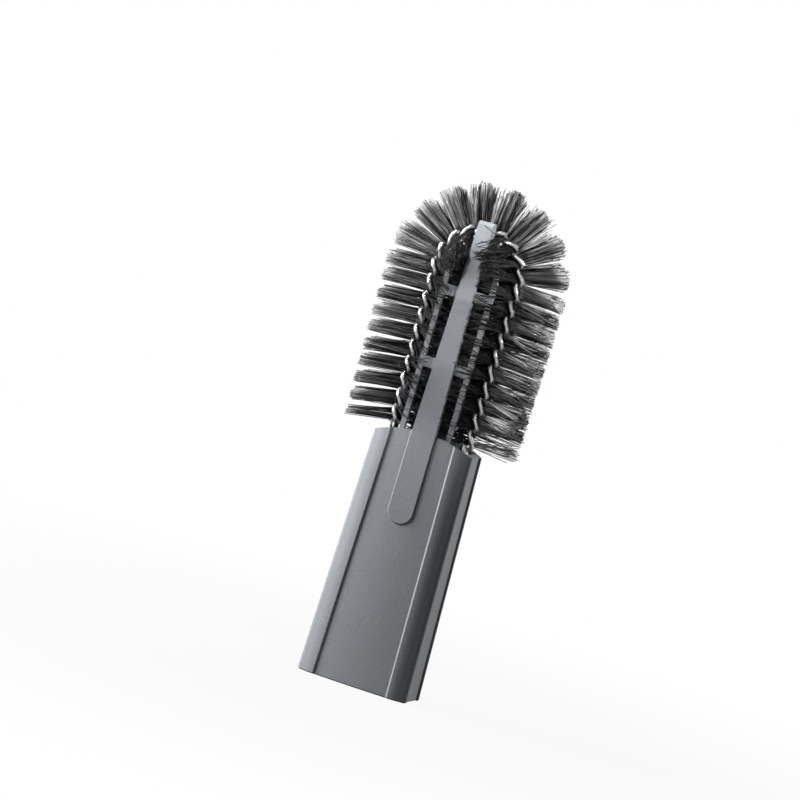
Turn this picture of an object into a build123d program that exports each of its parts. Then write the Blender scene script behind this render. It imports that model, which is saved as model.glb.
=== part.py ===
"""Radiator brush for a vacuum cleaner: a push-on sleeve, a grille and a U-shaped twisted wire brush.

Millimetres, +Z up. The brush stands on the mouth of its sleeve, the origin is the middle of the mouth,
the tip points to +Z, the front looks to -Y and the wide side runs along X.
"""
import math
import os

from build123d import *

# Sleeve, as pairs of mouth and lip
mouth_half_width = 23.0
lip_half_width = 20.6
mouth_half_depth = 12.1
lip_half_depth = 9.9
mouth_panel_half_width = 15.4
lip_panel_half_width = 13.2
mouth_side_half_width = 22.3
lip_side_half_width = 19.9
mouth_side_half_depth = 7.6
lip_side_half_depth = 5.6
lip_height = 102.3
lip_arch_rise = 4.25
front_crown_radius = 170.0
panel_recess = 0.6
panel_slope_width = 0.8
shoulder_width = 5.0
shoulder_slope = 0.4
shoulder_radius = 12.0
edge_radius = 2.2
step_slope = 0.15
front_wall = 1.6
side_wall = 1.9
socket_corner_radius = 2.0
mouth_edge_round = 0.5

# Stop wall inside the sleeve, below the lip, and the two wire sockets on it
socket_drop = 15.8
stop_wall_thickness = 2.0
suction_half_width = 9.4
suction_half_depth = 5.4
socket_boss_radius = 3.4
socket_boss_height = 12.5
socket_boss_foot = 5.0
socket_clearance = 0.15

# Centre strip, as half widths at heights, and its features below the tip
strip_base_height = 66.0
strip_base_half_width = 4.95
strip_lip_half_width = 4.8
strip_neck_drop = 15.0
strip_neck_half_width = 3.05
strip_tip_half_width = 3.0
strip_raise = 0.45
strip_thickness = 2.5
strip_border = 0.35
tip_height = 187.0
tip_round = 1.2
neck_line_drop = 12.0
neck_line_width = 0.5
neck_line_depth = 0.35

# Grille behind the strip, with its rungs at shares of the way from the lip to the arch
grille_half_width = 10.7
rail_width = 2.0
grille_setback = 1.85
grille_thickness = 2.0
grille_arch_drop = 22.5
rung_shares = (0.428, 0.894)
rung_width = 4.2

# Nose post and saddle below the bend of the wire
nose_length = 17.0
saddle_gap = 0.3

# Twisted wire
strand_radius = 1.0
strand_offset = 1.25
loop_apex_drop = 3.0
loop_bend_radius = 17.2
leg_splay_deg = 1.2
first_turn_rise = 2.9
half_turns = 27
stations_per_half_turn = 4
strand_sides = 8

# Bristle bundles, pinched between the two strands
brush_radius = 18.2
bundles_per_half_turn = 8
bundle_root_width = 0.6
bundle_root_thickness = 0.36
bundle_root_reach = 2.7
bundle_tip_width = 2.2
bundle_tip_thickness = 3.0
bundle_clearance = 0.5
shortest_arm = 4.0
arm_step = 0.2

stop_wall_top = lip_height - socket_drop
strip_neck_height = tip_height - strip_neck_drop
neck_line_height = tip_height - neck_line_drop
grille_arch_height = tip_height - grille_arch_drop
rung_heights = [lip_height + share * (grille_arch_height - lip_height) for share in rung_shares]
nose_post_base = tip_height - nose_length
loop_apex_height = tip_height - loop_apex_drop
first_turn_height = lip_height + first_turn_rise
lip_corner_height = lip_height - lip_arch_rise
lip_arch_radius = (lip_half_width**2 + lip_arch_rise**2) / (2 * lip_arch_rise)
rim_middle = mouth_half_width - shoulder_width
rim_slope = rim_middle / math.sqrt(front_crown_radius**2 - rim_middle**2)
front_tilt_deg = math.degrees(math.atan2(mouth_half_depth - lip_half_depth, lip_corner_height))
wire_radius = strand_offset + strand_radius
loop_centre_height = loop_apex_height - loop_bend_radius
bend_rise = math.sqrt(loop_bend_radius**2 - strip_tip_half_width**2)
leg_splay = math.radians(leg_splay_deg)
tangent_height = loop_centre_height - loop_bend_radius * math.sin(leg_splay)
leg_length = (tangent_height - stop_wall_top) / math.cos(leg_splay)
bend_angle = math.pi + 2 * leg_splay
loop_length = 2 * leg_length + bend_angle * loop_bend_radius
first_turn = (first_turn_height - stop_wall_top) / math.cos(leg_splay)
half_pitch = (loop_length - 2 * first_turn) / half_turns
nose_slot_half_depth = wire_radius + saddle_gap
saddle_height = loop_centre_height + bend_rise - nose_slot_half_depth
front = Vector(0, -1, 0)


def along_sleeve(at_mouth, at_lip, height):
    """Value at a height of something that runs straight from the mouth to the lip."""
    return at_mouth + (at_lip - at_mouth) * height / lip_corner_height


def half_depth(height):
    """Distance of the middle of the front panel from the middle plane."""
    return along_sleeve(mouth_half_depth, lip_half_depth, height)


def sleeve_outline(height):
    """Outer outline of the +X side of the front half, with stock left on the panel for its crown."""
    width = along_sleeve(mouth_half_width, lip_half_width, height)
    panel = along_sleeve(mouth_panel_half_width, lip_panel_half_width, height)
    side = along_sleeve(mouth_side_half_width, lip_side_half_width, height)
    side_depth = along_sleeve(mouth_side_half_depth, lip_side_half_depth, height)
    rim_depth = half_depth(height) + panel_recess - crown_drop(panel)
    shoulder = width - shoulder_width
    shoulder_depth = rim_depth - rim_slope * (shoulder - panel)
    return {
        "middle": (side, 0),
        "side": (side, -side_depth),
        "step": (width, -side_depth - step_slope * (width - side)),
        "edge": (width, -shoulder_depth + shoulder_slope * shoulder_width),
        "shoulder": (shoulder, -shoulder_depth),
        "rim": (panel, -rim_depth),
        "stock": (panel - panel_slope_width, -rim_depth - panel_recess),
    }


def panel_outline(height):
    """Sloped side of the recessed panel on the +X side, from behind the panel to past the rim."""
    panel = along_sleeve(mouth_panel_half_width, lip_panel_half_width, height)
    middle_depth = half_depth(height) + panel_recess / 2 - crown_drop(panel)
    slope = panel_slope_width / panel_recess
    return {
        "behind": (panel - slope * front_wall, -middle_depth + front_wall),
        "past": (panel + slope * front_wall, -middle_depth - front_wall),
    }


def crown_drop(across):
    """How far the crowned front falls back at a distance from its middle."""
    return front_crown_radius - math.sqrt(front_crown_radius**2 - across**2)


def panel_cutter(top):
    """What is cut away in front of the crowned panel."""
    roller = Pos(0, front_crown_radius, 0) * Cylinder(front_crown_radius, 4 * lip_height)
    behind_panel = Pos(0, -mouth_half_depth, 0) * Rot(-front_tilt_deg, 0, 0) * roller
    return tapered_half(panel_outline, -front_wall, top, {}) - behind_panel


def socket_outline(height):
    """Inner outline of the +X side of the front half, where the nozzle goes in."""
    width = along_sleeve(mouth_side_half_width, lip_side_half_width, height) - side_wall
    return {"middle": (width, 0), "corner": (width, -half_depth(height) + front_wall)}


def polyhedron(rings, twisted):
    """Closed solid through rings of points, flat at both ends, with each side halved where the rings twist."""
    faces = [Face(Wire.make_polygon(rings[0])), Face(Wire.make_polygon(rings[-1]))]
    count = len(rings[0])
    for low, high in zip(rings, rings[1:]):
        for i in range(count):
            j = (i + 1) % count
            corners = [low[i], low[j], high[j], high[i]]
            if twisted:
                faces.append(Face(Wire.make_polygon([corners[0], corners[1], corners[2]])))
                faces.append(Face(Wire.make_polygon([corners[0], corners[2], corners[3]])))
            else:
                faces.append(Face(Wire.make_polygon(corners)))
    return Solid(Shell(faces))


def tapered_half(outline, low, high, roundings):
    """Front half solid between two heights of an outline and its mirror image, with its named edges made round."""
    rings = []
    for height in (low, high):
        points = list(outline(height).values())
        points += [(-x, y) for x, y in reversed(points)]
        rings.append([Vector(x, y, height) for x, y in points])
    solid = Part() + polyhedron(rings, False)
    for corner, radius in roundings.items():
        ends = [Vector(*outline(height)[corner], height) for height in (low, high)]
        middle = (ends[0] + ends[1]) / 2
        places = [Vector(side * middle.X, middle.Y, middle.Z) for side in (-1, 1)]
        edges = [min(solid.edges(), key=lambda e: (e.center() - place).length) for place in places]
        solid = fillet(edges, radius)
    return solid


def sloped_slab(outer, inner, half_width, top):
    """Slab that follows the slope of the front panel, between two distances measured from the panel."""
    profile = Polyline(
        (-half_depth(0) - outer, 0),
        (-half_depth(top) - outer, top),
        (-half_depth(top) - inner, top),
        (-half_depth(0) - inner, 0),
        close=True,
    )
    return extrude(Plane.YZ * make_face(profile), half_width, both=True)


def front_outline(face):
    """The face, drawn as width and height, made deep enough to cut through the whole front half."""
    return extrude(Plane.XZ * face, 2 * mouth_half_depth)


def strip_outline(margin):
    """Centre strip seen from the front, with its round lower end, widened by the margin."""
    base = strip_base_half_width + margin
    round_end = Pos(0, strip_base_height + strip_base_half_width) * Circle(base)
    blade = Polyline(
        (base, strip_base_height + strip_base_half_width),
        (strip_lip_half_width + margin, lip_height),
        (strip_neck_half_width + margin, strip_neck_height),
        (strip_tip_half_width + margin, tip_height),
        (-strip_tip_half_width - margin, tip_height),
        (-strip_neck_half_width - margin, strip_neck_height),
        (-strip_lip_half_width - margin, lip_height),
        (-base, strip_base_height + strip_base_half_width),
        close=True,
    )
    return make_face(blade) + round_end


def build_sleeve():
    """Front half of the sleeve, with its stop wall and wire sockets."""
    top = lip_height + front_wall
    outer = tapered_half(sleeve_outline, 0, top, {"edge": edge_radius, "shoulder": shoulder_radius})
    outer = outer - panel_cutter(top + front_wall)
    rim = [e for e in outer.edges().group_by(Axis.Z)[0] if abs(e.center().Y) > front_wall]
    outer = chamfer(rim, mouth_edge_round)
    inner = tapered_half(socket_outline, -front_wall, top + front_wall, {"corner": socket_corner_radius})
    stop_wall = Pos(0, 0, stop_wall_top) * Box(
        2 * mouth_half_width, 2 * mouth_half_depth, stop_wall_thickness, align=(Align.CENTER, Align.CENTER, Align.MAX)
    )
    suction_hole = Box(2 * suction_half_width, 2 * suction_half_depth, 2 * tip_height)
    sleeve = outer - inner + (inner & stop_wall) - suction_hole
    arch = Pos(0, 0, lip_height - lip_arch_radius) * Rot(90, 0, 0) * Cylinder(lip_arch_radius, 4 * mouth_half_depth)
    below_arch = Box(
        4 * mouth_half_width, 4 * mouth_half_depth, lip_height - lip_arch_radius,
        align=(Align.CENTER, Align.CENTER, Align.MIN),
    )
    sleeve = sleeve & (arch + below_arch)
    front_half = Pos(0, -mouth_half_depth, tip_height / 2) * Box(
        4 * mouth_half_width, 2 * mouth_half_depth, 2 * tip_height)
    for side in (-1, 1):
        floor = Pos(side * leg_x(stop_wall_top), 0, stop_wall_top) * Rot(0, side * leg_splay_deg, 0)
        boss = Pos(0, 0, -stop_wall_thickness) * Cylinder(
            socket_boss_radius, socket_boss_height, align=(Align.CENTER, Align.CENTER, Align.MIN))
        foot = Pos(0, 0, -stop_wall_thickness) * Cone(
            strand_radius, socket_boss_radius, socket_boss_foot, align=(Align.CENTER, Align.CENTER, Align.MAX))
        bore = Cylinder(wire_radius + socket_clearance, tip_height, align=(Align.CENTER, Align.CENTER, Align.MIN))
        sleeve = sleeve + ((floor * (boss + foot)) & front_half) - floor * bore
    return sleeve


def build_grille():
    """Two rails, two rungs and the arch that joins them, behind the centre strip."""
    rail_height = grille_arch_height - stop_wall_top
    middle = stop_wall_top + rail_height / 2
    opening = grille_half_width - rail_width
    frame = Pos(0, middle) * Rectangle(2 * grille_half_width, rail_height)
    frame = frame + Pos(0, grille_arch_height) * Circle(grille_half_width)
    windows = Pos(0, middle) * Rectangle(2 * opening, rail_height)
    windows = windows + Pos(0, grille_arch_height) * Circle(opening)
    for height in rung_heights:
        windows = windows - Pos(0, height) * Rectangle(2 * grille_half_width, rung_width)
    front = strip_raise - grille_setback
    slab = sloped_slab(front, front - grille_thickness, grille_half_width, tip_height)
    return slab & front_outline(frame - windows)


def build_strip():
    """Raised centre strip from the sleeve to the tip, with sloped borders where it lies on the panel."""
    blade = sloped_slab(strip_raise, strip_raise - strip_thickness, grille_half_width, tip_height)
    blade = blade & front_outline(strip_outline(0))
    border = sloped_slab(strip_raise / 2, -front_wall / 2, grille_half_width, lip_height - front_wall)
    return blade + (border & front_outline(strip_outline(strip_border)))


def build_nose():
    """Half of the post between the two strips, with the slot that the bend of the wire lies in."""
    height = tip_height - nose_post_base
    block = Pos(0, 0, nose_post_base) * Box(
        2 * strip_tip_half_width, half_depth(tip_height), height, align=(Align.CENTER, Align.MAX, Align.MIN))
    slot = Pos(0, 0, saddle_height) * Box(
        4 * strip_tip_half_width, 2 * nose_slot_half_depth, height, align=(Align.CENTER, Align.CENTER, Align.MIN))
    return block - slot


def build_front_shell():
    """The front half of the body as one moulding."""
    shell = build_sleeve() + build_grille() + build_strip() + build_nose()
    tip_edges = [e for e in shell.edges().filter_by(Axis.X).group_by(Axis.Z)[-1]]
    shell = chamfer(min(tip_edges, key=lambda e: e.center().Y), tip_round)
    line = Pos(0, -half_depth(neck_line_height) - strip_raise, neck_line_height) * Box(
        2 * grille_half_width, 2 * neck_line_depth, neck_line_width)
    return shell - line


def leg_x(height):
    """Distance of the straight wire legs from the middle at a height."""
    return loop_bend_radius * math.cos(leg_splay) - (tangent_height - height) * math.tan(leg_splay)


def loop_frame(distance):
    """Point of the wire loop at a distance from its left end, with its direction and outward side."""
    if distance < leg_length:
        along = Vector(-math.sin(leg_splay), 0, math.cos(leg_splay))
        foot = Vector(-leg_x(stop_wall_top), 0, stop_wall_top)
        return foot + along * distance, along, Vector(-math.cos(leg_splay), 0, -math.sin(leg_splay))
    if distance > leg_length + bend_angle * loop_bend_radius:
        along = Vector(-math.sin(leg_splay), 0, -math.cos(leg_splay))
        foot = Vector(leg_x(stop_wall_top), 0, stop_wall_top)
        return foot + along * (distance - loop_length), along, Vector(math.cos(leg_splay), 0, -math.sin(leg_splay))
    turn = math.pi + leg_splay - (distance - leg_length) / loop_bend_radius
    outward = Vector(math.cos(turn), 0, math.sin(turn))
    along = Vector(math.sin(turn), 0, -math.cos(turn))
    return Vector(0, 0, loop_centre_height) + outward * loop_bend_radius, along, outward


def twist_at(distance):
    """Angle of the first strand about the wire, zero where it faces the front."""
    return math.pi * (distance - first_turn) / half_pitch


def strand_side(distance, phase):
    """Direction from the middle of the wire to one of its strands."""
    outward = loop_frame(distance)[2]
    angle = twist_at(distance) + phase
    return front * math.cos(angle) + outward * math.sin(angle)


def strand_ring(distance, phase):
    """Ring of points around one strand, square to the strand, or square to the wire at its two ends."""
    point, along, outward = loop_frame(distance)
    side = strand_side(distance, phase)
    centre = point + side * strand_offset
    lead = along + along.cross(side) * twist_turn(along, outward) * (strand_offset * math.pi / half_pitch)
    lead = lead.normalized()
    across = lead.cross(side)
    ring = []
    for i in range(strand_sides):
        angle = 2 * math.pi * i / strand_sides
        spot = centre + (side * math.cos(angle) + across * math.sin(angle)) * strand_radius
        if distance in (0, loop_length):
            spot = spot - lead * ((spot - point).dot(along) / lead.dot(along))
        ring.append(spot)
    return ring


def twist_turn(along, outward):
    """Hand of the twist: plus one where turning from the front to the outer side follows the wire's direction."""
    return round(front.cross(outward).dot(along))


def build_strand(phase):
    """One strand of the twist, from its socket around the loop to the other socket."""
    count = round(loop_length / half_pitch * stations_per_half_turn)
    return polyhedron([strand_ring(loop_length * i / count, phase) for i in range(count + 1)], True)


def strip_half_width(height):
    """Half width of the centre strip at a height above the lip."""
    share = (height - lip_height) / (strip_neck_height - lip_height)
    return max(strip_tip_half_width, strip_lip_half_width + (strip_neck_half_width - strip_lip_half_width) * share)


def is_taken(spot, margin):
    """True where a spot lies in the sleeve, the grille, the strip or the nose, or closer than the margin."""
    across, depth, height = abs(spot.X), abs(spot.Y), spot.Z
    strip_front = half_depth(height) + strip_raise + margin
    rail_front = strip_front - grille_setback
    lip = lip_height - lip_arch_radius + math.sqrt(lip_arch_radius**2 - min(across, lip_half_width) ** 2)
    in_sleeve = height < lip + margin and across < lip_half_width + margin and depth < strip_front + panel_recess
    from_arch = math.hypot(across, max(0, height - grille_arch_height))
    in_grille = depth < rail_front and from_arch < grille_half_width + margin
    in_strip = across < strip_half_width(height) + margin and depth < strip_front and height < tip_height + margin
    in_slot = height > saddle_height + margin and depth < nose_slot_half_depth - margin
    return in_sleeve or in_grille or (in_strip and not in_slot)


def bundle_size(reach):
    """Width along the wire and thickness across it of a bundle at a distance from the wire."""
    share = max(0, reach - bundle_root_reach) / (brush_radius - bundle_root_reach)
    width = bundle_root_width + (bundle_tip_width - bundle_root_width) * share
    return width, bundle_root_thickness + (bundle_tip_thickness - bundle_root_thickness) * share


def arm_length(point, direction):
    """Free length of a bundle's arm, up to the radius of the brush."""
    for i in range(round(brush_radius / arm_step) + 1):
        reach = i * arm_step
        if is_taken(point + direction * reach, math.hypot(*bundle_size(reach)) / 2 + bundle_clearance):
            return reach
    return brush_radius


def build_bundle(distance):
    """Bristle bundle through the gap between the strands, with the arms that have room, or nothing."""
    point, along, _ = loop_frame(distance)
    across = strand_side(distance, 0)
    direction = strand_side(distance, math.pi / 2)
    rings = []
    lengths = [arm_length(point, direction * sign) for sign in (-1, 1)]
    if max(lengths) < shortest_arm:
        return None
    reaches = []
    for sign, length in zip((-1, 1), lengths):
        ends = [bundle_root_reach, length] if length >= shortest_arm else [strand_radius]
        reaches.extend(sign * end for end in ends)
    for reach in sorted(reaches):
        width, thickness = bundle_size(abs(reach))
        corners = [(-1, -1), (1, -1), (1, 1), (-1, 1)]
        centre = point + direction * reach
        rings.append([centre + along * (a * width / 2) + across * (b * thickness / 2) for a, b in corners])
    return polyhedron(rings, False)


def build_half_turn(turn):
    """All bristle bundles of one half turn of the twist."""
    places = [turn + (i + 0.5) / bundles_per_half_turn - 0.5 for i in range(bundles_per_half_turn)]
    bundles = [build_bundle(first_turn + place * half_pitch) for place in places]
    return Compound(children=[bundle for bundle in bundles if bundle])


front_shell = build_front_shell()
shapes = {
    "front_shell": front_shell,
    "back_shell": mirror(front_shell, about=Plane.XZ),
    "wire_strand_a": build_strand(0),
    "wire_strand_b": build_strand(math.pi),
}
for turn in range(half_turns + 1):
    shapes[f"bristle_turn_{turn + 1:02d}"] = build_half_turn(turn)

os.makedirs("parts", exist_ok=True)
for name, shape in shapes.items():
    shape.label = name
    export_step(shape, f"parts/{name}.step")
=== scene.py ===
import math
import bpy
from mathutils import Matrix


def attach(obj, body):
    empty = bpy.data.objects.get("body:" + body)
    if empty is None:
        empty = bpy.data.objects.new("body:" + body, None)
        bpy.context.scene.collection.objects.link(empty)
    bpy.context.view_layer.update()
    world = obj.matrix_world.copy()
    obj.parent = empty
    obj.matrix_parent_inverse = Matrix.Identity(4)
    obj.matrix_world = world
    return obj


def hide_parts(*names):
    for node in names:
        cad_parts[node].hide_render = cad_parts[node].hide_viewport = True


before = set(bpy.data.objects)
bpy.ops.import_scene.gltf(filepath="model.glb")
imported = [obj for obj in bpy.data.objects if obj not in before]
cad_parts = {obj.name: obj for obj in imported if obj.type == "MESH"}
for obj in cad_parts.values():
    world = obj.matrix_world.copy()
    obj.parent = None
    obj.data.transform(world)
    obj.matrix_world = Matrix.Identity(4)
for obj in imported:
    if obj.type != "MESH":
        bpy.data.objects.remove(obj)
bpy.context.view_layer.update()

from types import SimpleNamespace

import bpy
import numpy as np
from mathutils import Matrix, Vector

# Body, in metres, as the CAD has it
mouth_half_depth = 0.0121
lip_half_depth = 0.0099
lip_height = 0.1023
lip_arch_rise = 0.00425
lip_half_width = 0.0206
panel_recess = 0.0006
strip_raise = 0.00045
strip_base_height = 0.066
strip_base_half_width = 0.00495
strip_lip_half_width = 0.0048
strip_neck_half_width = 0.00305
strip_neck_height = 0.172
strip_tip_half_width = 0.003
strip_thickness = 0.0025
tip_height = 0.187
grille_half_width = 0.0107
rail_width = 0.002
grille_setback = 0.00185
grille_thickness = 0.002
grille_arch_height = 0.1645
rung_heights = (0.1289, 0.1579)
rung_width = 0.0042
nose_post_base = 0.17
saddle_gap = 0.0003

# Twisted wire, in metres, as the CAD has it
stop_wall_top = 0.0865
strand_radius = 0.001
strand_offset = 0.00125
strand_phases = {"wire_strand_a": 0.0, "wire_strand_b": math.pi}
loop_apex_height = 0.184
loop_bend_radius = 0.0172
leg_splay = math.radians(1.2)
first_turn_height = 0.1052
half_turns = 27

# Fineness of the strands: stations along each half turn and points round a strand
strand_stations = 24
strand_sides = 16

# Filaments: how many, how thick and how long
bend_first_turn = 10
right_first_turn = 18
filaments_per_half_turn = 250
outer_share = 0.56
end_turn_share = 0.3
filament_radius = 0.00018
filament_sides = 3
filament_spans = 4
brush_radius = 0.0182
length_spread = 0.012
tip_reach = 0.07
tip_rounding = 0.03
tip_rounding_bend = 0.26
root_spread = 0.35
spread_half_width = 0.5
shortest_filament = 0.12
filament_clearance = 0.0001
probe_steps = 48
least_step = 1e-8
least_width = 1e-4
random_seed = 7

# Tufts: outside the U, most filaments of a half turn are bunched to a flat tuft
bunched_share = 0.94
bunched_share_right = 0.88
bunching = 0.74
tuft_half_width = 0.41
tuft_half_width_right = 0.52
tuft_half_width_bend = 0.5
tuft_narrowing = 0.38
tuft_narrowing_bend = 0.8
swing_spread = math.radians(8.0)
lean_spread = 0.0003
lean_spread_right = 0.0014
curl_spread = 0.0006
foot_droop = math.radians(9.0)

# Tangle: inside the U, some filaments lie loose over the grille and the others are set back behind it
loose_share = 0.75
loose_share_right = 0.3
bunching_loose = 0.3
bunching_inside = 0.4
inside_back = 0.2
swing_spread_inside = math.radians(13.0)
lean_spread_inside = 0.0024
curl_spread_inside = 0.0018

# Shades of the filaments: alike within small clumps at random, with painted shade on the filaments inside
# the U and on the left, and painted light that grows towards the right
clumps_per_half_turn = 11
clump_strength = 0.5
spare_turns = 1
darkest_share = 0.28
lightest_share = 0.75
# Painted shade and light: the filaments inside the U and on the left are darkened in colour, and the right
# ones lightened, to stand for how light falls
inside_painted_shade = 0.02
left_painted_shade = 0.14
painted_light_rise = 1.5

# Colours, which go from dark to light with a noise texture or, on the nylon, with the shade
noise_low = 0.3
noise_high = 0.7
grain_dark = (0.155, 0.163, 0.175)
grain_light = (0.21, 0.22, 0.235)
cloud_dark = (0.165, 0.174, 0.187)
cloud_light = (0.2, 0.21, 0.224)
steel_dark = (0.28, 0.28, 0.285)
steel_light = (0.5, 0.5, 0.51)
nylon_dark = (0.01, 0.0102, 0.0105)
# The nylon's light end is painted sheen: grey that stands for light on black filaments
nylon_painted_sheen = (0.64, 0.645, 0.655)
floor_dark = (0.14, 0.14, 0.14)
floor_light = (0.16, 0.16, 0.16)
white = (1, 1, 1, 1)

# Width and height of the strip's sloped border, in metres, which is shown by shading alone
strip_border = 0.00045

# Camera, at the photo's angle
view_azimuth = math.radians(16.5)
view_elevation = math.radians(3.9)
view_roll = math.radians(16.2)
view_distance = 1.5
sensor_width = 36.0
pixels_per_metre = 2578
frame_pixels = 800
target_height = 0.1113
target_right = -0.01525

# Studio
soft_light = 0.03
brush_aim = 0.163
brush_spread = 9
brush_lamp_size = 0.05
floor_half_width = 3.0
shadow_reach = 0.1
fade_reach = 0.35
floor_white = 0.93

# Values that follow from the sizes
lip_corner_height = lip_height - lip_arch_rise
lip_arch_radius = (lip_half_width**2 + lip_arch_rise**2) / (2 * lip_arch_rise)
wire_radius = strand_offset + strand_radius
loop_centre_height = loop_apex_height - loop_bend_radius
tangent_height = loop_centre_height - loop_bend_radius * math.sin(leg_splay)
leg_length = (tangent_height - stop_wall_top) / math.cos(leg_splay)
bend_length = (math.pi + 2 * leg_splay) * loop_bend_radius
loop_length = 2 * leg_length + bend_length
first_turn = (first_turn_height - stop_wall_top) / math.cos(leg_splay)
half_pitch = (loop_length - 2 * first_turn) / half_turns
turn_count = half_turns + 1
nose_slot_half_depth = wire_radius + saddle_gap
bend_rise_at_nose = math.sqrt(loop_bend_radius**2 - strip_tip_half_width**2)
saddle_height = loop_centre_height + bend_rise_at_nose - nose_slot_half_depth
front = np.array([0.0, -1.0, 0.0])
bristle_groups = {
    "left_bristles": range(bend_first_turn),
    "bend_bristles": range(bend_first_turn, right_first_turn),
    "right_bristles": range(right_first_turn, turn_count),
}


def between(start, end, share):
    """Value that lies a share of the way from start to end."""
    return start + (end - start) * share


def half_depth(height):
    """Distance of the front panel from the middle plane at a height."""
    return between(mouth_half_depth, lip_half_depth, height / lip_corner_height)


def loop_frame(distance):
    """Points of the wire loop at distances from its left end, with their directions and outward sides."""
    distance = np.asarray(distance, dtype=float)
    bend = np.clip(distance - leg_length, 0, bend_length)
    turn = math.pi + leg_splay - bend / loop_bend_radius
    level = np.zeros_like(turn)
    outward = np.stack([np.cos(turn), level, np.sin(turn)], axis=-1)
    along = np.stack([np.sin(turn), level, -np.cos(turn)], axis=-1)
    centre = np.array([0.0, 0.0, loop_centre_height])
    before_bend = np.minimum(distance - leg_length, 0)
    after_bend = np.maximum(distance - leg_length - bend_length, 0)
    straight = (before_bend + after_bend)[..., None]
    return centre + outward * loop_bend_radius + along * straight, along, outward


def strand_side(distance, phase):
    """Directions from the middle of the wire to one of its strands."""
    outward = loop_frame(distance)[2]
    angle = math.pi * (np.asarray(distance) - first_turn) / half_pitch + phase
    return front * np.cos(angle)[..., None] + outward * np.sin(angle)[..., None]


def circle_angles(sides):
    """Angles of evenly spaced points round a circle."""
    return 2 * math.pi * np.arange(sides) / sides


def tube_mesh(name, rings, shades):
    """Mesh of many closed tubes: rings holds them by tube, station, side and coordinate."""
    tubes, stations, sides, _ = rings.shape
    index = np.arange(tubes * stations * sides).reshape(tubes, stations, sides)
    following = np.roll(index, -1, axis=2)
    corners = [index[:, :-1], following[:, :-1], following[:, 1:], index[:, 1:]]
    walls = np.stack(corners, axis=-1).reshape(-1, len(corners))
    faces = walls.tolist() + index[:, 0, ::-1].tolist() + index[:, -1].tolist()
    mesh = bpy.data.meshes.new(name)
    mesh.from_pydata(rings.reshape(-1, 3).tolist(), [], faces)
    mesh.polygons.foreach_set("use_smooth", [True] * len(mesh.polygons))
    shade = mesh.attributes.new("shade", "FLOAT", "POINT")
    shade.data.foreach_set("value", shades.reshape(-1).astype(np.float32))
    mesh.update()
    return mesh


def add_piece(mesh, material, nodes):
    """New piece on the object, in place of the CAD nodes it stands for."""
    piece = bpy.data.objects.new(mesh.name, mesh)
    bpy.context.scene.collection.objects.link(piece)
    piece.data.materials.append(material)
    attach(piece, "root")
    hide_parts(*nodes)


def strand_rings(phase):
    """Rings of points along one strand of the twist, cut square to the wire at both ends."""
    station_count = round(loop_length / half_pitch * strand_stations) + 1
    distance = np.linspace(0, loop_length, station_count)
    point, along, _ = loop_frame(distance)
    side = strand_side(distance, phase)
    centre = point + side * strand_offset
    lead = np.gradient(centre, axis=0)
    lead /= np.linalg.norm(lead, axis=1, keepdims=True)
    across = np.cross(lead, side)
    angle = circle_angles(strand_sides)[None, :, None]
    ring = side[:, None] * np.cos(angle) + across[:, None] * np.sin(angle)
    rings = centre[:, None] + strand_radius * ring
    for end in (0, -1):
        past = (rings[end] - point[end]) @ along[end]
        rings[end] -= np.outer(past / (lead[end] @ along[end]), lead[end])
    return rings[None]


def in_body(spots):
    """True for each spot that lies in the sleeve, the grille, the strip or the nose, or before the strip."""
    across = abs(spots[..., 0])
    depth = abs(spots[..., 1])
    height = spots[..., 2]
    strip_front = half_depth(height) + strip_raise + filament_clearance
    grille_front = strip_front - grille_setback
    grille_back = grille_front - grille_thickness - 2 * filament_clearance
    up_strip = np.clip((height - lip_height) / (strip_neck_height - lip_height), 0, 1)
    strip_edge = between(strip_lip_half_width, strip_neck_half_width, up_strip) + filament_clearance
    from_middle = np.minimum(across, lip_half_width)
    lip = lip_height - lip_arch_radius + np.sqrt(lip_arch_radius**2 - from_middle**2)
    in_sleeve = (height < lip) & (across < lip_half_width) & (depth < strip_front + panel_recess)
    from_arch = np.hypot(across, np.maximum(0, height - grille_arch_height))
    on_grille = (from_arch < grille_half_width) & (from_arch > grille_half_width - rail_width)
    for rung in rung_heights:
        on_grille |= (abs(height - rung) < rung_width / 2) & (across < grille_half_width)
    in_grille = (depth < grille_front) & (depth > grille_back) & on_grille
    at_strip = (across < strip_edge) & (depth < strip_front)
    in_strip = at_strip & (depth > strip_front - strip_thickness)
    in_slot = (height > saddle_height) & (depth < nose_slot_half_depth)
    in_nose = at_strip & (height > nose_post_base) & ~in_slot
    before_strip = (across < strip_edge) & (depth >= strip_front) & (height < strip_neck_height)
    return in_sleeve | in_grille | before_strip | ((height < tip_height) & (in_strip | in_nose))


def points_at(line, share, wanted):
    """Points at the wanted shares of each line's length, between its given points."""
    reached = np.minimum(np.searchsorted(share, wanted, side="right") - 1, len(share) - 2)
    part = ((wanted - share[reached]) / (share[reached + 1] - share[reached]))[..., None]
    rows = np.arange(len(line))[:, None]
    return line[rows, reached] * (1 - part) + line[rows, reached + 1] * part


def cut_at_body(line, share):
    """Lines shortened to end before they enter the body, with the kept share of each."""
    probes = np.broadcast_to(np.linspace(0, 1, probe_steps + 1), (len(line), probe_steps + 1))
    hit = in_body(points_at(line, share, probes))
    kept = np.where(hit.any(axis=1), hit.argmax(axis=1) - 1, probe_steps) / probe_steps
    return points_at(line, share, share[None] * np.maximum(kept, 0)[:, None]), kept


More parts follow.
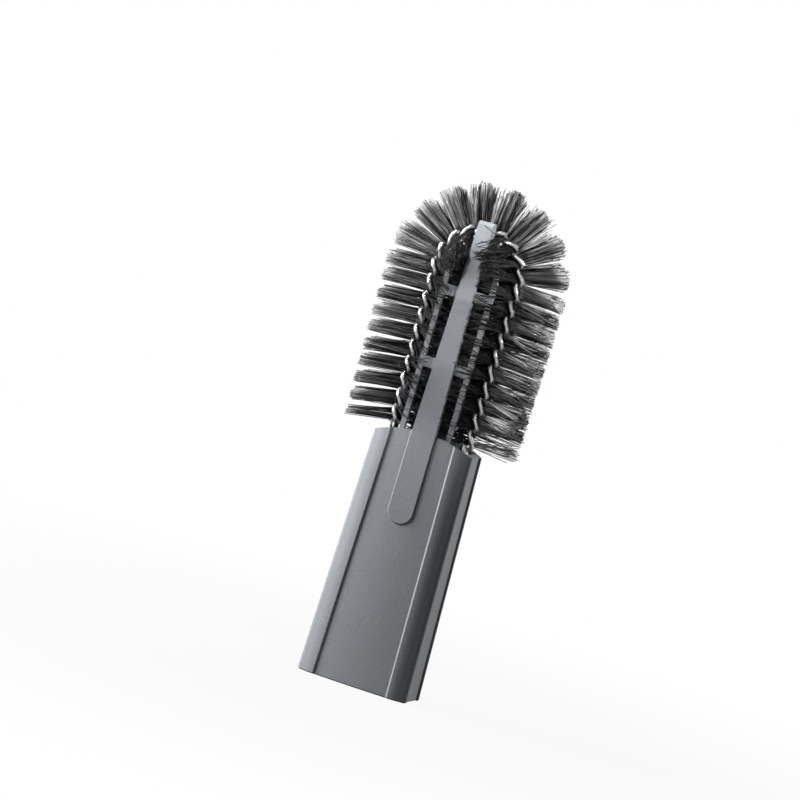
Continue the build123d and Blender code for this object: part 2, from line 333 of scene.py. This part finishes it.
def draw_filaments(count, random):
    """Random values for the filaments on one side of the wire, drawn in a fixed order."""
    clump_count = (turn_count + 2 * spare_turns) * clumps_per_half_turn
    return SimpleNamespace(
        bunched=random.uniform(0, 1, count),
        place=random.uniform(-1, 1, count),
        loose=random.uniform(0, 1, count),
        swing=random.normal(0, 1, count),
        lean=random.normal(0, 1, count),
        curl=random.normal(0, 1, count),
        shortfall=abs(random.normal(0, length_spread, count)),
        lift=random.uniform(-root_spread, root_spread, count) * strand_radius,
        clump_shade=random.uniform(0, 1, clump_count),
        own_shade=random.uniform(0, 1 - clump_strength, count),
        present=random.uniform(0, 1, count),
    )


def filament_shades(turn, offset, inside, drawn):
    """Shade of each filament, from zero for black to one for the lightest: random tone by clump and by
    filament, times painted shade inside the U and painted light that grows from left to right.
    """
    clump = ((turn + offset + spare_turns) * clumps_per_half_turn).astype(int)
    mixed = drawn.clump_shade[clump] * clump_strength + drawn.own_shade
    shade = np.clip((mixed - darkest_share) / (lightest_share - darkest_share), 0, 1)
    # Painted shade on the left that turns to painted light on the right, and painted shade inside the U
    painted_light_outside = between(left_painted_shade, 1, (turn / half_turns) ** painted_light_rise)
    return shade * np.where(inside, inside_painted_shade, painted_light_outside)


def filament_tubes(line, along):
    """Rings of points round the middle line of each filament."""
    lead = np.gradient(line, axis=1)
    lead /= np.maximum(np.linalg.norm(lead, axis=2, keepdims=True), least_step)
    width = np.cross(lead, along[:, None])
    width /= np.maximum(np.linalg.norm(width, axis=2, keepdims=True), least_width)
    depth = np.cross(lead, width)
    angle = circle_angles(filament_sides)[None, None, :, None]
    ring = width[:, :, None] * np.cos(angle) + depth[:, :, None] * np.sin(angle)
    return line[:, :, None] + filament_radius * ring


def one_side(turn, sign, random):
    """Rings and shades of the filaments on one side of the wire, where turn holds the half turn of each."""
    drawn = draw_filaments(len(turn), random)

    # Where each belongs: rightness grows from 0 to 1 along the wire, and on_top is 1 at the bend's top
    rightness = turn / half_turns
    on_top = np.maximum(loop_frame(first_turn + turn * half_pitch)[2][:, 2], 0)
    inside = np.where(turn % 2 == 0, sign, -sign) < 0
    bunched = ~inside & (drawn.bunched < between(bunched_share, bunched_share_right, rightness))
    loose = inside & (drawn.loose < between(loose_share, loose_share_right, rightness))

    # Root of each filament on the wire
    leg_tuft = between(tuft_half_width, tuft_half_width_right, rightness)
    tuft = between(leg_tuft, tuft_half_width_bend, on_top)
    offset = drawn.place * np.where(bunched, tuft, spread_half_width)
    distance = first_turn + (turn + offset) * half_pitch
    point, along, _ = loop_frame(distance)
    side = strand_side(distance, 0) * sign
    across = strand_side(distance, math.pi / 2) * sign

    # Direction, square to the strands but turned back against the twist, which bunches the filaments
    bunch = np.where(loose, bunching_loose, np.where(inside, bunching_inside, bunching))
    scatter = drawn.swing * np.where(inside, swing_spread_inside, swing_spread)
    swing = scatter - math.pi * offset * bunch
    direction = across * np.cos(swing)[:, None] - side * np.sin(swing)[:, None]
    direction -= front * np.where(inside & ~loose, inside_back, 0)[:, None]
    direction /= np.linalg.norm(direction, axis=1, keepdims=True)

    # Lean along the wire, curl and length
    below_bend = np.clip((tangent_height - point[:, 2]) / (tangent_height - lip_height), 0, 1)
    foot_drop = math.tan(foot_droop) * brush_radius * below_bend
    droop = np.where(inside | (point[:, 0] > 0), 0, foot_drop)
    narrowing = between(tuft_narrowing, tuft_narrowing_bend, on_top) * offset * half_pitch
    outside_lean = between(lean_spread, lean_spread_right, rightness)
    lean = drawn.lean * np.where(inside, lean_spread_inside, outside_lean) - droop - narrowing
    curl = drawn.curl * np.where(inside, curl_spread_inside, curl_spread)
    rounding = between(tip_rounding, tip_rounding_bend, on_top) * (offset / tuft) ** 2
    reach = np.where(bunched, tip_reach * (1 - on_top) - rounding, 0)
    length = brush_radius * (1 - drawn.shortfall) * (1 + reach)

    # Middle lines, cut where they meet the body, of which a share is shown
    share = np.linspace(0, 1, filament_spans + 1)
    line = (
        (point + along * drawn.lift[:, None])[:, None]
        + direction[:, None] * (length[:, None] * share)[..., None]
        + along[:, None] * (lean[:, None] * share)[..., None]
        + side[:, None] * (curl[:, None] * share**2)[..., None]
    )
    line, kept = cut_at_body(line, share)
    end_turn = (turn == 0) | (turn == half_turns)
    chance = np.where(inside, 1, outer_share) * np.where(end_turn, end_turn_share, 1)
    shown = (drawn.present < chance) & (kept > shortest_filament)
    rings = filament_tubes(line, along)
    shades = filament_shades(turn, offset, inside, drawn)[:, None, None]
    return rings[shown], np.broadcast_to(shades, rings.shape[:3])[shown]


def filament_rings(turns, random):
    """Rings and shades of the filaments of some half turns, on both sides of the wire."""
    turn = np.repeat(np.array(turns), filaments_per_half_turn)
    sides = [one_side(turn, sign, random) for sign in (-1, 1)]
    return [np.concatenate(parts) for parts in zip(*sides)]


def new_material(name):
    """Node material with its nodes, its links and its shader."""
    material = bpy.data.materials.new(name)
    material.use_nodes = True
    nodes = material.node_tree.nodes
    return material, nodes, material.node_tree.links, nodes["Principled BSDF"]


def object_place(nodes):
    """Place of a spot in the object's own coordinates."""
    return nodes.new("ShaderNodeTexCoord").outputs["Object"]


def noise(nodes, links, scale, detail):
    """Noise texture in the object's own coordinates."""
    texture = nodes.new("ShaderNodeTexNoise")
    texture.inputs["Scale"].default_value = scale
    texture.inputs["Detail"].default_value = detail
    links.new(object_place(nodes), texture.inputs["Vector"])
    return texture.outputs["Fac"]


def ramp(nodes, links, value, dark, light, low=noise_low, high=noise_high):
    """Colour from dark to light, by where a value lies between low and high."""
    band = nodes.new("ShaderNodeValToRGB")
    for stop, position, colour in zip(band.color_ramp.elements, (low, high), (dark, light)):
        stop.position = position
        stop.color = (*colour, 1)
    links.new(value, band.inputs["Fac"])
    return band.outputs["Color"]


def map_range(nodes, links, value, to_min, to_max, from_min=0.0, from_max=1.0, smooth=False):
    """Value moved from one range to another and held within it."""
    node = nodes.new("ShaderNodeMapRange")
    node.interpolation_type = "SMOOTHSTEP" if smooth else "LINEAR"
    node.inputs["From Min"].default_value = from_min
    node.inputs["From Max"].default_value = from_max
    node.inputs["To Min"].default_value = to_min
    node.inputs["To Max"].default_value = to_max
    links.new(value, node.inputs["Value"])
    return node.outputs["Result"]


def length_of(nodes, links, vector):
    """Length of a vector."""
    node = nodes.new("ShaderNodeVectorMath")
    node.operation = "LENGTH"
    links.new(vector, node.inputs[0])
    return node.outputs["Value"]


def combine(nodes, links, operation, first, second):
    """Difference, product, lesser or greater of two values, of which the second may be a plain number."""
    node = nodes.new("ShaderNodeMath")
    node.operation = operation
    links.new(first, node.inputs[0])
    if isinstance(second, float):
        node.inputs[1].default_value = second
    else:
        links.new(second, node.inputs[1])
    return node.outputs["Value"]


def bump(nodes, links, height, strength, distance):
    """Bump node that shades the surface as if it were raised by a height."""
    node = nodes.new("ShaderNodeBump")
    node.inputs["Strength"].default_value = strength
    node.inputs["Distance"].default_value = distance
    links.new(height, node.inputs["Height"])
    return node


def strip_border_height(nodes, links):
    """Height of the sloped border round the strip, from the distance to the strip's rounded outline."""
    parts = nodes.new("ShaderNodeSeparateXYZ")
    links.new(object_place(nodes), parts.inputs["Vector"])
    foot_centre = strip_base_height + strip_base_half_width
    rise = combine(nodes, links, "SUBTRACT", parts.outputs["Z"], foot_centre)
    below_centre = combine(nodes, links, "MINIMUM", rise, 0.0)
    flat = nodes.new("ShaderNodeCombineXYZ")
    links.new(parts.outputs["X"], flat.inputs["X"])
    links.new(below_centre, flat.inputs["Y"])
    reach = length_of(nodes, links, flat.outputs["Vector"])
    return map_range(
        nodes,
        links,
        reach,
        from_min=strip_base_half_width,
        from_max=strip_base_half_width + strip_border,
        to_min=strip_border,
        to_max=0.0,
    )


def moulded_plastic():
    """Grey satin plastic with a fine moulded grain and the shading of the strip's sloped border."""
    material, nodes, links, shader = new_material("grey_moulded_plastic")
    grain = noise(nodes, links, scale=1700, detail=3)
    cloud = noise(nodes, links, scale=60, detail=2)
    grain_colour = ramp(nodes, links, grain, grain_dark, grain_light)
    cloud_colour = ramp(nodes, links, cloud, cloud_dark, cloud_light)
    colour = nodes.new("ShaderNodeMix")
    colour.data_type = "RGBA"
    colour.inputs["Factor"].default_value = 0.35
    links.new(grain_colour, colour.inputs["A"])
    links.new(cloud_colour, colour.inputs["B"])
    links.new(colour.outputs["Result"], shader.inputs["Base Color"])
    rough = map_range(nodes, links, grain, to_min=0.5, to_max=0.64)
    links.new(rough, shader.inputs["Roughness"])
    shader.inputs["Specular IOR Level"].default_value = 0.12
    grain_bump = bump(nodes, links, grain, strength=0.45, distance=0.00012)
    border_height = strip_border_height(nodes, links)
    border_bump = bump(nodes, links, border_height, strength=1.0, distance=1.0)
    links.new(grain_bump.outputs["Normal"], border_bump.inputs["Normal"])
    links.new(border_bump.outputs["Normal"], shader.inputs["Normal"])
    return material


def drawn_steel():
    """Bright drawn wire with faint streaks."""
    material, nodes, links, shader = new_material("bright_steel_wire")
    streak = noise(nodes, links, scale=900, detail=2)
    colour = ramp(nodes, links, streak, steel_dark, steel_light, high=0.75)
    links.new(colour, shader.inputs["Base Color"])
    rough = map_range(nodes, links, streak, to_min=0.22, to_max=0.36)
    links.new(rough, shader.inputs["Roughness"])
    shader.inputs["Metallic"].default_value = 1.0
    return material


def black_nylon():
    """Filaments from black to a painted-sheen grey, by the shade of each, which carries random tone, painted
    shade and painted light.
    """
    material, nodes, links, shader = new_material("black_nylon_bristle")
    attribute = nodes.new("ShaderNodeAttribute")
    attribute.attribute_name = "shade"
    shade = attribute.outputs["Fac"]
    colour = ramp(nodes, links, shade, nylon_dark, nylon_painted_sheen, low=0.0, high=1.0)
    links.new(colour, shader.inputs["Base Color"])
    shader.inputs["Roughness"].default_value = 0.5
    # Painted shade also takes most of the gloss from the darkest filaments, inside the U and on the left
    gloss_by_painted_shade = map_range(nodes, links, shade, from_max=0.15, to_min=0.1, to_max=0.45)
    links.new(gloss_by_painted_shade, shader.inputs["Specular IOR Level"])
    return material


def seen_directly(nodes, links):
    """One where a ray comes from the camera, a reflection or glass, and zero where it carries soft light."""
    rays = nodes.new("ShaderNodeLightPath")
    total = rays.outputs["Is Camera Ray"]
    for kind in ("Is Glossy Ray", "Is Transmission Ray"):
        total = combine(nodes, links, "MAXIMUM", total, rays.outputs[kind])
    return total


def towards(azimuth, elevation):
    """Direction from the brush to a place round it, from angles in radians."""
    return Vector((
        math.sin(azimuth) * math.cos(elevation),
        -math.cos(azimuth) * math.cos(elevation),
        math.sin(elevation),
    ))


def add_camera():
    """Camera that sees the brush at the photo's angle, size and place."""
    away = towards(view_azimuth, view_elevation)
    level_right = Vector((math.cos(view_azimuth), math.sin(view_azimuth), 0))
    level_up = away.cross(level_right)
    image_right = level_right * math.cos(view_roll) + level_up * math.sin(view_roll)
    image_up = level_up * math.cos(view_roll) - level_right * math.sin(view_roll)
    target = Vector((0, 0, target_height)) + level_right * target_right
    turned = Matrix((image_right, image_up, away)).transposed().to_4x4()
    camera = bpy.data.objects.new("camera", bpy.data.cameras.new("camera"))
    camera.data.sensor_width = sensor_width
    camera.data.lens = sensor_width * pixels_per_metre * view_distance / frame_pixels
    camera.matrix_world = Matrix.Translation(target + away * view_distance) @ turned
    bpy.context.scene.collection.objects.link(camera)
    bpy.context.scene.camera = camera


def add_world():
    """White studio, which is seen white and gives little light of its own."""
    studio = bpy.data.worlds.new("white_studio")
    studio.use_nodes = True
    nodes = studio.node_tree.nodes
    links = studio.node_tree.links
    strength = map_range(nodes, links, seen_directly(nodes, links), to_min=soft_light, to_max=1.0)
    links.new(strength, nodes["Background"].inputs["Strength"])
    nodes["Background"].inputs["Color"].default_value = white
    bpy.context.scene.world = studio
    bpy.context.scene.view_settings.view_transform = "Standard"


def add_light(name, azimuth, elevation, distance, width, height, power, aim=target_height, spread=180):
    """Soft lamp that faces a height on the brush, with all its angles in degrees."""
    lamp = bpy.data.lights.new(name, "AREA")
    lamp.shape = "RECTANGLE"
    lamp.size = width
    lamp.size_y = height
    lamp.energy = power
    lamp.spread = math.radians(spread)
    away = towards(math.radians(azimuth), math.radians(elevation))
    light = bpy.data.objects.new(name, lamp)
    light.location = Vector((0, 0, aim)) + away * distance
    light.rotation_euler = away.to_track_quat("Z", "Y").to_euler()
    bpy.context.scene.collection.objects.link(light)


def add_brush_light(name, azimuth, elevation, power):
    """Narrow lamp that lights the brush and the upper strip alone."""
    add_light(
        name,
        azimuth,
        elevation,
        distance=0.6,
        width=brush_lamp_size,
        height=brush_lamp_size,
        power=power,
        aim=brush_aim,
        spread=brush_spread,
    )


def pale_floor():
    """Pale floor material, which fades to the white of the studio away from the brush."""
    material, nodes, links, shader = new_material("pale_floor")
    cloud = noise(nodes, links, scale=8, detail=2)
    colour = ramp(nodes, links, cloud, floor_dark, floor_light)
    links.new(colour, shader.inputs["Base Color"])
    shader.inputs["Roughness"].default_value = 0.9
    fade = map_range(
        nodes,
        links,
        length_of(nodes, links, object_place(nodes)),
        from_min=shadow_reach,
        from_max=fade_reach,
        to_min=floor_white,
        to_max=1.0,
        smooth=True,
    )
    glow = nodes.new("ShaderNodeEmission")
    glow.inputs["Color"].default_value = white
    glow.inputs["Strength"].default_value = 1.0
    glow_share = combine(nodes, links, "MULTIPLY", fade, seen_directly(nodes, links))
    blend = nodes.new("ShaderNodeMixShader")
    links.new(glow_share, blend.inputs["Fac"])
    links.new(shader.outputs["BSDF"], blend.inputs[1])
    links.new(glow.outputs["Emission"], blend.inputs[2])
    links.new(blend.outputs["Shader"], nodes["Material Output"].inputs["Surface"])
    return material


def add_floor():
    """Floor under the brush, which isn't part of it."""
    corners = [(-1, -1), (1, -1), (1, 1), (-1, 1)]
    spots = [(x * floor_half_width, y * floor_half_width, 0) for x, y in corners]
    mesh = bpy.data.meshes.new("floor")
    mesh.from_pydata(spots, [], [range(len(spots))])
    floor = bpy.data.objects.new("floor", mesh)
    bpy.context.scene.collection.objects.link(floor)
    floor.data.materials.append(pale_floor())


# Looks of the two shells, which stay as the CAD has them
plastic = moulded_plastic()
for name in ("front_shell", "back_shell"):
    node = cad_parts[name]
    node.data.materials.clear()
    node.data.materials.append(plastic)

# Wire and bristles, in place of the CAD's plainer ones
steel = drawn_steel()
for name, phase in strand_phases.items():
    rings = strand_rings(phase)
    mesh = tube_mesh(name.replace("strand", "round"), rings, np.zeros(rings.shape[:3]))
    add_piece(mesh, steel, [name])
nylon = black_nylon()
random = np.random.default_rng(random_seed)
for name, turns in bristle_groups.items():
    rings, shades = filament_rings(turns, random)
    nodes = [f"bristle_turn_{turn + 1:02d}" for turn in turns]
    add_piece(tube_mesh(name, rings, shades), nylon, nodes)

# Camera and white studio
add_camera()
add_world()
add_light("key", azimuth=-73.5, elevation=20, distance=0.55, width=0.22, height=0.4, power=11.6)
add_brush_light("brush", azimuth=-22, elevation=48, power=0.02)
add_brush_light("brush_right", azimuth=70, elevation=30, power=0.03)
add_light("fill", azimuth=-20, elevation=12, distance=1.2, width=0.3, height=0.3, power=0.25)
add_light("edge", azimuth=146, elevation=12, distance=0.8, width=0.3, height=0.4, power=4.8)
add_floor()
